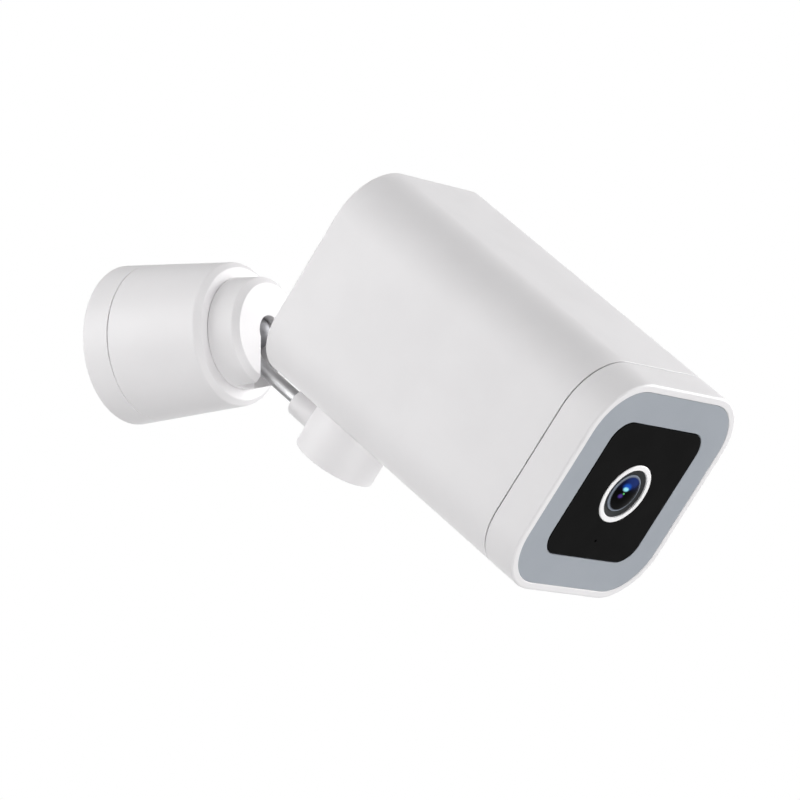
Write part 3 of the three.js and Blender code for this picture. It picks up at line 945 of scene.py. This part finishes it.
@dataclass
class Arm(Assembly):
    """Steel ball on a bent steel rod. The axes' origin is the ball's centre."""

    hub: Axes
    rod_radius: float = 2.7
    rod_lift: float = 0.3  # how far the rod lies above the middle of its bore
    bend: float = 5.0
    flat: float = 6.0  # depth of the flat where the rod comes out, below the ball's centre
    sides: int = 48

    def build(self) -> None:
        """Makes the ball and the rod."""
        self.ball()
        self.rod()

    def ball(self) -> None:
        """Ball with a small flat underneath, where the rod comes out."""
        outline = [Corner(0, BALL_RADIUS)]
        steps = 40
        last = math.acos(-self.flat / BALL_RADIUS)
        for k in range(1, steps + 1):
            angle = last * k / steps
            outline.append(Corner(BALL_RADIUS * math.sin(angle), BALL_RADIUS * math.cos(angle)))
        outline.append(Corner(0, -self.flat))
        shape = upright(turned(outline, closed=False, sides=96))
        # The ball's darker steel is painted shade from the collar round it.
        self.piece("swivel_ball", shape, BALL_STEEL_PAINTED_SHADE, "ball")

    def rod(self) -> None:
        """Rod that leaves the ball downwards and bends towards the hub."""
        points = self.route()
        side = Vector((1, 0, 0))
        rings = []
        for i, point in enumerate(points):
            way = (points[min(i + 1, len(points) - 1)] - points[max(i - 1, 0)]).normalized()
            across = way.cross(side)
            angles = [math.tau * k / self.sides for k in range(self.sides)]
            rings.append([point + self.rod_radius * (side * math.cos(a) + across * math.sin(a))
                          for a in angles])
        self.piece("bent_rod", skin(rings), STEEL, "arm_rod")

    def route(self) -> list[Vector]:
        """The rod's centre line, from inside the ball to inside the hub's boss.

        Returns:
            Points along it, closest together in the bend.
        """
        back = self.axes.matrix().inverted()
        hub_centre = back @ (self.hub.origin + self.hub.up * self.rod_lift * MM) / MM
        forward = (back.to_3x3() @ self.hub.forward).normalized()
        elbow = hub_centre - forward * (hub_centre.z / forward.z)
        before = elbow + Vector((0, self.bend, 0))
        after = elbow + forward * self.bend
        steps = 12
        curve = []
        for k in range(1, steps):
            t = k / steps
            curve.append(before * (1 - t) ** 2 + elbow * 2 * t * (1 - t) + after * t ** 2)
        end = hub_centre + forward * self.hub.box("arm_rod")[1].z
        return [Vector((0, -BALL_RADIUS / 2, 0)), before, *curve, after, end]


@dataclass
class Hub(Assembly):
    """Round hub on which the camera turns. The axes' origin is where the rod's line meets the hub's."""

    radius: float = 16.8
    boss_radius: float = 5.8
    cap_radius: float = 14.5
    cap_depth: float = 2.0
    screw_bore: float = 3.3
    head_bore: float = 7.2
    screw_seat: float = -3.0
    rod_bore: float = 3.05
    rod_bore_end: float = -9.0
    set_screw_radius: float = 1.8
    set_screw_from: float = 2.0
    set_screw_to: float = 7.0
    root_start: float = 0.1  # the boss widens between these two depths inside the drum's round outline
    root_end: float = 0.9
    root_spread: float = 0.8
    boss_core: float = 5.0

    def build(self) -> None:
        """Makes the hub's pieces."""
        self.drum()
        low, high = self.axes.box("hub_cap")
        cap = upright(bar(self.cap_radius, low.y, high.y, 0.4, 128))
        self.piece("hub_cap_plate", cap, WHITE, "hub_cap")
        self.dress(SCREW_STEEL, "hub_screw", "rod_set_screw")
        self.dress(SLIP, "hub_washer")

    def drum(self) -> None:
        """Hub with its boss for the rod, which widens where the two meet."""
        low, high = self.axes.box("swivel_hub")
        recess = self.cap_radius + GAP
        cap_seat = low.y + self.cap_depth
        body = upright(turned([
            Corner(self.screw_bore, self.screw_seat), Corner(self.head_bore, self.screw_seat),
            Corner(self.head_bore, cap_seat), Corner(recess, cap_seat), Corner(recess, low.y, 0.2),
            Corner(self.radius, low.y, 0.35), Corner(self.radius, high.y, 0.4),
            Corner(self.screw_bore, high.y),
        ]))
        inside = -0.7 * self.radius
        boss = turned([
            Corner(0, low.z), Corner(self.boss_radius, low.z, 0.7),
            Corner(self.boss_radius, self.root_start - self.radius, 0.5),
            Corner(self.boss_radius + self.root_spread, self.root_end - self.radius),
            Corner(self.boss_core, inside), Corner(0, inside),
        ], closed=False, sides=96)
        rod_way = bar(self.rod_bore, low.z - 1, self.rod_bore_end, sides=64)
        screw_low, screw_high = self.axes.box("rod_set_screw")
        screw_way = sideways(bar(self.set_screw_radius, self.set_screw_from, self.set_screw_to, sides=32))
        shifted(screw_way, 0, 0, (screw_low.z + screw_high.z) / 2)
        shape = worked(worked(body, [boss], Cut.JOIN), [rod_way, screw_way], Cut.AWAY)
        self.piece("hub_drum", shape, WHITE, "swivel_hub")


@dataclass
class CameraPart(Assembly):
    """Anything in the camera's axes, whose origin is the middle of its front face."""

    width: float = 90.0
    height: float = 90.5
    corner: float = 22.5
    wall: float = 2.6
    length: float = 145.0
    bezel_depth: float = 15.2
    ledge: float = 5.5  # how far the ledges inside the housing reach in
    panel_size: float = 57.8
    panel_corner: float = 8.6

    def outline(self, inset: float, depth: float) -> Ring:
        """The camera's cross-section, drawn in by an inset."""
        return rounded_box(self.width - 2 * inset, self.height - 2 * inset, self.corner - inset, depth)

    def lofted(self, corners: Sequence[Corner], closed: bool = True) -> bmesh.types.BMesh:
        """A body whose cross-section follows the camera's, from an outline of insets and depths."""
        return skin([self.outline(inset, depth) for inset, depth in rounded(corners, closed)], closed)


@dataclass
class Shell(CameraPart):
    """Main shell and what is seen at the rear."""

    cover_room: float = 5.3  # depth of the recess for the rear cover and its gasket
    cover_depth: float = 1.6  # how far the cover lies inside the rear edge
    cover_thickness: float = 2.5
    field_inset: float = 15.0
    field_step: float = 0.5
    screw_place: float = 33.5
    screw_bore: float = 1.7
    screw_room: float = 3.1
    screw_head: float = 2.8
    screw_height: float = 1.1
    screw_shank: float = 1.1
    button_height: float = 22.0
    button_radius: float = 4.0
    button_flange: float = 5.2
    button_bore: float = 4.3
    contact_place: tuple[float, float] = (7.0, 9.0)
    contact_radius: float = 2.0
    mount_radius: float = 5.3
    mount_top: float = -35.5
    slot_width: float = 1.6
    slot_length: float = 18.0
    slot_pitch: float = 4.0
    speaker_depth: float = -62.0

    def build(self) -> None:
        """Makes the shell, the rear cover and the pieces on it."""
        self.shell()
        self.rear_cover()
        self.screws()
        self.button()
        self.contacts()
        self.dress(RUBBER, "rear_gasket")
        self.dress(BRASS, "mount_insert")

    def shell(self) -> None:
        """Tube with rounded edges, a ledge for the rear cover, the hub's hole and the speaker's slots."""
        front = -self.bezel_depth - 0.5
        back = -self.length
        ledge = self.cover_room + back
        tube = self.lofted([
            Corner(0, front, 0.3), Corner(0, back, 1.4), Corner(self.wall - 0.2, back, 0.3),
            Corner(self.wall - 0.2, ledge), Corner(self.ledge, ledge), Corner(self.ledge, ledge + 2),
            Corner(self.wall, ledge + 2), Corner(self.wall, front - 1.6), Corner(0.9, front - 1.6),
            Corner(0.9, front),
        ])
        shape = worked(tube, [self.mount_hole(), *self.speaker_slots()], Cut.AWAY)
        self.piece("shell_tube", shape, WHITE, "main_shell")

    def mount_hole(self) -> bmesh.types.BMesh:
        """The hole for the threaded insert, up through the underside on the hub's axis.

        Returns:
            The hole as a body to cut away.
        """
        low, high = self.axes.box("mount_insert")
        hole = upright(bar(self.mount_radius, -self.height / 2 - 1, self.mount_top, sides=48))
        return shifted(hole, 0, 0, (low.z + high.z) / 2)

    def speaker_slots(self) -> list[bmesh.types.BMesh]:
        """Five long slots side by side in the underside.

        Returns:
            The slots as bodies to cut away.
        """
        slots = []
        for k in range(-2, 3):
            ends = [rounded_box(self.slot_width, self.slot_length, self.slot_width / 2 - 0.01, depth, 8)
                    for depth in (-3, 5)]
            slot = upright(skin(ends))
            slots.append(shifted(slot, self.slot_pitch * k, -self.height / 2, self.speaker_depth))
        return slots

    def rear_cover(self) -> None:
        """Recessed rear cover with its holes and a lower field in the middle."""
        outside = self.cover_depth - self.length
        inside = outside + self.cover_thickness
        lowered = outside + self.field_step
        inset = self.wall + 0.1
        middle = self.width / 2 - 1
        cover = self.lofted([
            Corner(middle, lowered), Corner(self.field_inset + self.field_step, lowered, 0.3),
            Corner(self.field_inset, outside, 0.3), Corner(inset, outside, 0.5),
            Corner(inset, inside, 0.2), Corner(middle, inside),
        ], closed=False)
        holes = []
        for x, y in self.screw_places():
            holes.append(shifted(bar(self.screw_bore, outside - 1, inside + 1, sides=32), x, y))
            holes.append(shifted(bar(self.screw_room, outside - 1, outside + 1.5, sides=48), x, y))
        button = bar(self.button_bore, outside - 1, inside + 1, sides=64)
        holes.append(shifted(button, 0, self.button_height))
        for side in (-1, 1):
            x, y = self.contact_place
            hole = bar(self.contact_radius + GAP, outside - 1, inside + 1, sides=48)
            holes.append(shifted(hole, side * x, y))
        self.piece("rear_plate", worked(cover, holes, Cut.AWAY), WHITE, "rear_cover")

    def screw_places(self) -> list[tuple[float, float]]:
        """Where the rear screws are, anticlockwise from the top right."""
        signs = ((1, 1), (-1, 1), (-1, -1), (1, -1))
        return [(x * self.screw_place, y * self.screw_place) for x, y in signs]

    def screws(self) -> None:
        """The rear cover's four screws, with hexagon sockets."""
        top = self.cover_depth + 0.1 - self.length
        under_head = top + self.screw_height
        for i, (x, y) in enumerate(self.screw_places()):
            end = self.axes.box(f"rear_screw_{i + 1}")[1].z
            screw = turned([
                Corner(0, top), Corner(self.screw_head, top, 0.35),
                Corner(self.screw_head, under_head, 0.1), Corner(self.screw_shank, under_head),
                Corner(self.screw_shank, end), Corner(0, end),
            ], closed=False, sides=48)
            socket = bar(1.2, top - 1, top + 0.8, sides=6)
            shape = shifted(worked(screw, [socket], Cut.AWAY), x, y)
            self.piece(f"rear_screw_head_{i + 1}", shape, SCREW_STEEL, f"rear_screw_{i + 1}")

    def button(self) -> None:
        """Push button with a dished face, on its own body."""
        low, high = self.axes.box("sync_button")
        flange = high.z - 0.8
        shape = turned([
            Corner(0, low.z + 0.35), Corner(2.4, low.z + 0.3, 1.0), Corner(3.3, low.z, 0.3),
            Corner(self.button_radius, low.z, 0.35), Corner(self.button_radius, flange),
            Corner(self.button_flange, flange), Corner(self.button_flange, high.z), Corner(0, high.z),
        ], closed=False, sides=96)
        shifted(shape, 0, self.button_height)
        self.piece("sync_button_cap", shape, DARK, "sync_button", body="button")

    def contacts(self) -> None:
        """The two charging contacts with rounded tips."""
        for name, side in (("charge_contact_left", -1), ("charge_contact_right", 1)):
            low, high = self.axes.box(name)
            x, y = self.contact_place
            pin = bar(self.contact_radius, low.z, high.z, 0.6, 48)
            self.piece(name + "_pin", shifted(pin, side * x, y), BRASS, name)


@dataclass
class FrontLight(CameraPart):
    """Front frame with the light's diffuser and the dark seal behind it."""

    rim: float = 3.1
    step: float = 3.0  # depth of the ledge that carries the diffuser
    tongue: float = 5.0
    face: float = -0.12  # how deep the diffuser's face lies

    def build(self) -> None:
        """Makes the frame, the seal and the diffuser."""
        self.bezel()
        self.diffuser()
        self.dress(RUBBER, "front_gasket")
        self.dress(CIRCUIT, "led_board")
        self.dress(ALUMINIUM, "heat_sink")

    def bezel(self) -> None:
        """Front frame with a soft front edge and a tongue that goes into the shell."""
        seam = -self.bezel_depth
        end = seam - self.tongue
        inset = self.wall + GAP
        shape = self.lofted([
            Corner(0, seam, 0.3), Corner(0, 0, 0.9), Corner(self.rim, 0, 0.35),
            Corner(self.rim, -self.step), Corner(self.ledge, -self.step), Corner(self.ledge, end),
            Corner(inset, end), Corner(inset, seam),
        ])
        self.piece("bezel_frame", shape, WHITE, "front_bezel")

    def diffuser(self) -> None:
        """Frosted square ring, a little lower than the frame round it and the panel inside it."""
        outer = self.rim + 0.04
        size = self.panel_size + 0.5
        corner = self.panel_corner + 0.25
        face = self.face
        back = -2.5
        outside = [(outer, back), (outer, face - 0.2), (outer + 0.06, face - 0.06), (outer + 0.25, face)]
        inside = [(0.4, face), (0.1, face - 0.1), (0, face - 0.3), (0, back)]
        rings = [self.outline(inset, depth) for inset, depth in outside]
        for grow, depth in inside:
            rings.append(rounded_box(size + 2 * grow, size + 2 * grow, corner + grow, depth))
        self.piece("light_window", skin(rings, closed=True), FROSTED, "light_diffuser")


@dataclass
class LensModule(CameraPart):
    """Black panel with the lens in its middle."""

    thickness: float = 2.6
    ring_outer: float = 12.6
    ring_inner: float = 10.5
    ring_back: float = -4.5
    glass_rise: float = 1.4
    microphone_height: float = -21.1
    microphone_hole: float = 0.6

    def build(self) -> None:
        """Makes the panel, the ring, the hood and the glass."""
        self.panel()
        self.ring()
        self.hood()
        self.glass()
        self.dress(DARK, "microphone", "lens_barrel", "camera_bracket")
        self.dress(CIRCUIT, "sensor_board")

    def panel(self) -> None:
        """Glossy square panel with a round window and the microphone's hole."""
        rings = []
        for inset, depth in ((0, -self.thickness), (0, -0.35), (0.1, -0.1), (0.35, 0)):
            side = self.panel_size - 2 * inset
            rings.append(rounded_box(side, side, self.panel_corner - inset, depth))
        window = bar(self.ring_outer + 0.2, -5, 5, sides=144)
        hole = shifted(bar(self.microphone_hole, -5, 5, sides=24), 0, self.microphone_height)
        self.piece("panel_face", worked(skin(rings), [window, hole], Cut.AWAY), PANEL, "black_panel")

    def ring(self) -> None:
        """White ring round the lens."""
        front = self.axes.box("lens_ring")[1].z
        shape = turned([
            Corner(self.ring_inner, self.ring_back), Corner(self.ring_outer, self.ring_back),
            Corner(self.ring_outer, front, 0.4), Corner(self.ring_inner, front, 0.3),
        ])
        self.piece("lens_trim_ring", shape, TRIM, "lens_ring")

    def hood(self) -> None:
        """Dark shallow funnel between the ring and the glass."""
        low, high = self.axes.box("lens_hood")
        outer = high.x + 0.15
        inner = GLASS_RADIUS + 0.05
        shape = turned([
            Corner(inner, low.z), Corner(outer, low.z), Corner(outer, high.z, 0.1),
            Corner(inner, high.z - 0.6, 0.15),
        ])
        self.piece("lens_funnel", shape, HOOD, "lens_hood")

    def glass(self) -> None:
        """Domed front glass."""
        low, high = self.axes.box("lens_glass")
        dome = (GLASS_RADIUS ** 2 + self.glass_rise ** 2) / (2 * self.glass_rise)
        widest = math.asin(GLASS_RADIUS / dome)
        steps = 24
        outline = [Corner(0, low.z), Corner(GLASS_RADIUS, low.z)]
        for k in range(steps, -1, -1):
            angle = widest * k / steps
            outline.append(Corner(dome * math.sin(angle), high.z - dome * (1 - math.cos(angle))))
        self.piece("lens_front_glass", turned(outline, closed=False), LENS, "lens_glass")


@dataclass
class Inside(CameraPart):
    """Boards, cells and speaker, which keep their CAD shapes."""

    def build(self) -> None:
        """Gives each inner piece its finish."""
        self.dress(CIRCUIT, "main_board", "antenna_board", "rear_board")
        self.dress(CELL, "battery_cell_left", "battery_cell_right")
        self.dress(DARK, "battery_cradle", "speaker")


# ---- Studio --------------------------------------------------------------------------------------


class Softbox(NamedTuple):
    """A square soft light that faces the object.

    Attributes:
        name: The light's name.
        elevation: Degrees above the horizon.
        distance: Metres from the object.
        size: Metres along each side.
        power: Watts.
    """

    name: str
    azimuth: float
    elevation: float
    distance: float
    size: float
    power: float


@dataclass
class Studio:
    """Pale floor, soft lights and the camera."""

    centre: Vector
    floor_drop: float = 2.0
    floor_size: float = 30.0
    floor_glow: float = 0.85
    lens: float = 201.87
    azimuth: float = -54.0
    elevation: float = -7.46
    roll: float = 0.1
    distance: float = 1.75
    aim_shift: Vector = field(default_factory=lambda: Vector((0.0308, 0.0216, 0.0026)))
    ambient: float = 0.2
    boxes: tuple[Softbox, ...] = (
        Softbox("right softbox", 60, 14, 1.8, 1.3, 36),
        Softbox("top softbox", -5, 45, 1.8, 1.2, 11.5),
        Softbox("low softbox", -20, -45, 1.8, 1.0, 16.5),
        Softbox("side softbox", -100, 20, 1.2, 0.8, 4.0),
        Softbox("wall softbox", -140, 14, 1.2, 0.8, 8.2),
        Softbox("rear softbox", 140, 0, 1.8, 1.4, 8.5),
    )

    def build(self) -> None:
        """Sets the studio up."""
        self.floor()
        self.world()
        for box in self.boxes:
            self.softbox(box)
        self.camera()
        bpy.context.scene.view_settings.view_transform = "Standard"

    def around(self, azimuth: float, elevation: float) -> Vector:
        """Direction from the object to a viewer.

        Args:
            elevation: Degrees above the horizon.

        Returns:
            The direction, of length 1.
        """
        turn = math.radians(azimuth)
        rise = math.radians(elevation)
        level = math.cos(rise)
        return Vector((math.sin(turn) * level, -math.cos(turn) * level, math.sin(rise)))

    def floor(self) -> None:
        """Plain pale floor well below the object."""
        half = self.floor_size / 2
        slab = skin([
            [Vector((sx * half, sy * half, height)) for sx, sy in ((1, 1), (-1, 1), (-1, -1), (1, -1))]
            for height in (-self.floor_drop - 0.02, -self.floor_drop)
        ])
        floor = loose_object("floor", slab)
        graph = Graph("pale floor")
        clouds = graph.noise(graph.node("ShaderNodeTexCoord").outputs["Object"], 2.0, 3)
        colour = graph.blend(graph.fade(clouds, 0.3, 0.7, 0, 1), (0.9, 0.9, 0.9), (0.88, 0.88, 0.88))
        seen = graph.node("ShaderNodeLightPath").outputs["Is Camera Ray"]
        graph.feed(base_color=colour, roughness=0.9, emission_color=(0.9, 0.9, 0.9, 1),
                   emission_strength=graph.fade(seen, 0, 1, 0, self.floor_glow))
        floor.data.materials.append(graph.material)
        floor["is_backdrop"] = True

    def world(self) -> None:
        """Soft light from all round, with a white backdrop behind the object."""
        world = bpy.data.worlds.new("studio")
        world.use_nodes = True
        nodes = world.node_tree.nodes
        links = world.node_tree.links
        soft = nodes["Background"]
        soft.inputs["Strength"].default_value = self.ambient
        soft.inputs["Color"].default_value = (1, 1, 1, 1)
        backdrop = nodes.new("ShaderNodeBackground")
        backdrop.inputs["Strength"].default_value = 1.0
        backdrop.inputs["Color"].default_value = (1, 1, 1, 1)
        path = nodes.new("ShaderNodeLightPath")
        mix = nodes.new("ShaderNodeMixShader")
        links.new(path.outputs["Is Camera Ray"], mix.inputs["Fac"])
        links.new(soft.outputs["Background"], mix.inputs[1])
        links.new(backdrop.outputs["Background"], mix.inputs[2])
        links.new(mix.outputs["Shader"], nodes["World Output"].inputs["Surface"])
        bpy.context.scene.world = world

    def softbox(self, box: Softbox) -> None:
        """Hangs one soft light.

        Args:
            box: Where it hangs and how strong it is.
        """
        lamp = bpy.data.lights.new(box.name, "AREA")
        lamp.size = box.size
        lamp.energy = box.power
        thing = bpy.data.objects.new(box.name, lamp)
        direction = self.around(box.azimuth, box.elevation)
        thing.location = self.centre + direction * box.distance
        thing.rotation_euler = direction.to_track_quat("Z", "Y").to_euler()
        bpy.context.scene.collection.objects.link(thing)

    def camera(self) -> None:
        """Places the camera a little below the object, in front of it and to its left."""
        data = bpy.data.cameras.new("camera")
        data.lens = self.lens
        data.sensor_width = 36.0
        data.clip_start = 0.05
        data.clip_end = 100.0
        thing = bpy.data.objects.new("camera", data)
        direction = self.around(self.azimuth, self.elevation)
        thing.location = self.centre + self.aim_shift + direction * self.distance
        roll = Matrix.Rotation(math.radians(self.roll), 3, "Z")
        thing.rotation_euler = (direction.to_track_quat("Z", "Y").to_matrix() @ roll).to_euler()
        bpy.context.scene.collection.objects.link(thing)
        bpy.context.scene.camera = thing


def main() -> None:
    """Builds every assembly and the studio."""
    logging.basicConfig(level=logging.INFO, format="%(name)s: %(message)s", stream=sys.stdout)
    swivel = joint("neck_swivel")
    tilt = joint("arm_tilt")
    pan = joint("camera_pan")
    forward = Vector(swivel["axis"])
    up = Vector((0, 0, 1))
    wall = Axes(Vector(), up, forward)
    ball = Axes(Vector(tilt["pos_m"]), up, forward)
    look = Vector(joint("button_press")["axis"]).normalized()
    hub = Axes(Vector(pan["pos_m"]), Vector(pan["axis"]).normalized(), look)
    low, high = hub.box("front_bezel")
    face = Vector((0, (low.y + high.y) / 2, high.z))
    front = Axes(hub.matrix() @ (face * MM), hub.up, hub.forward)
    for assembly in (
        WallBase(wall, "base"),
        Neck(wall, "neck"),
        Arm(ball, "arm", hub),
        Hub(hub, "arm"),
        Shell(front, "camera"),
        FrontLight(front, "camera"),
        LensModule(front, "camera"),
        Inside(front, "camera"),
    ):
        assembly.build()
    low, high = CAD_BOUNDS
    Studio((low + high) / 2).build()
    low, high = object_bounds()


if __name__ == "__main__":
    main()
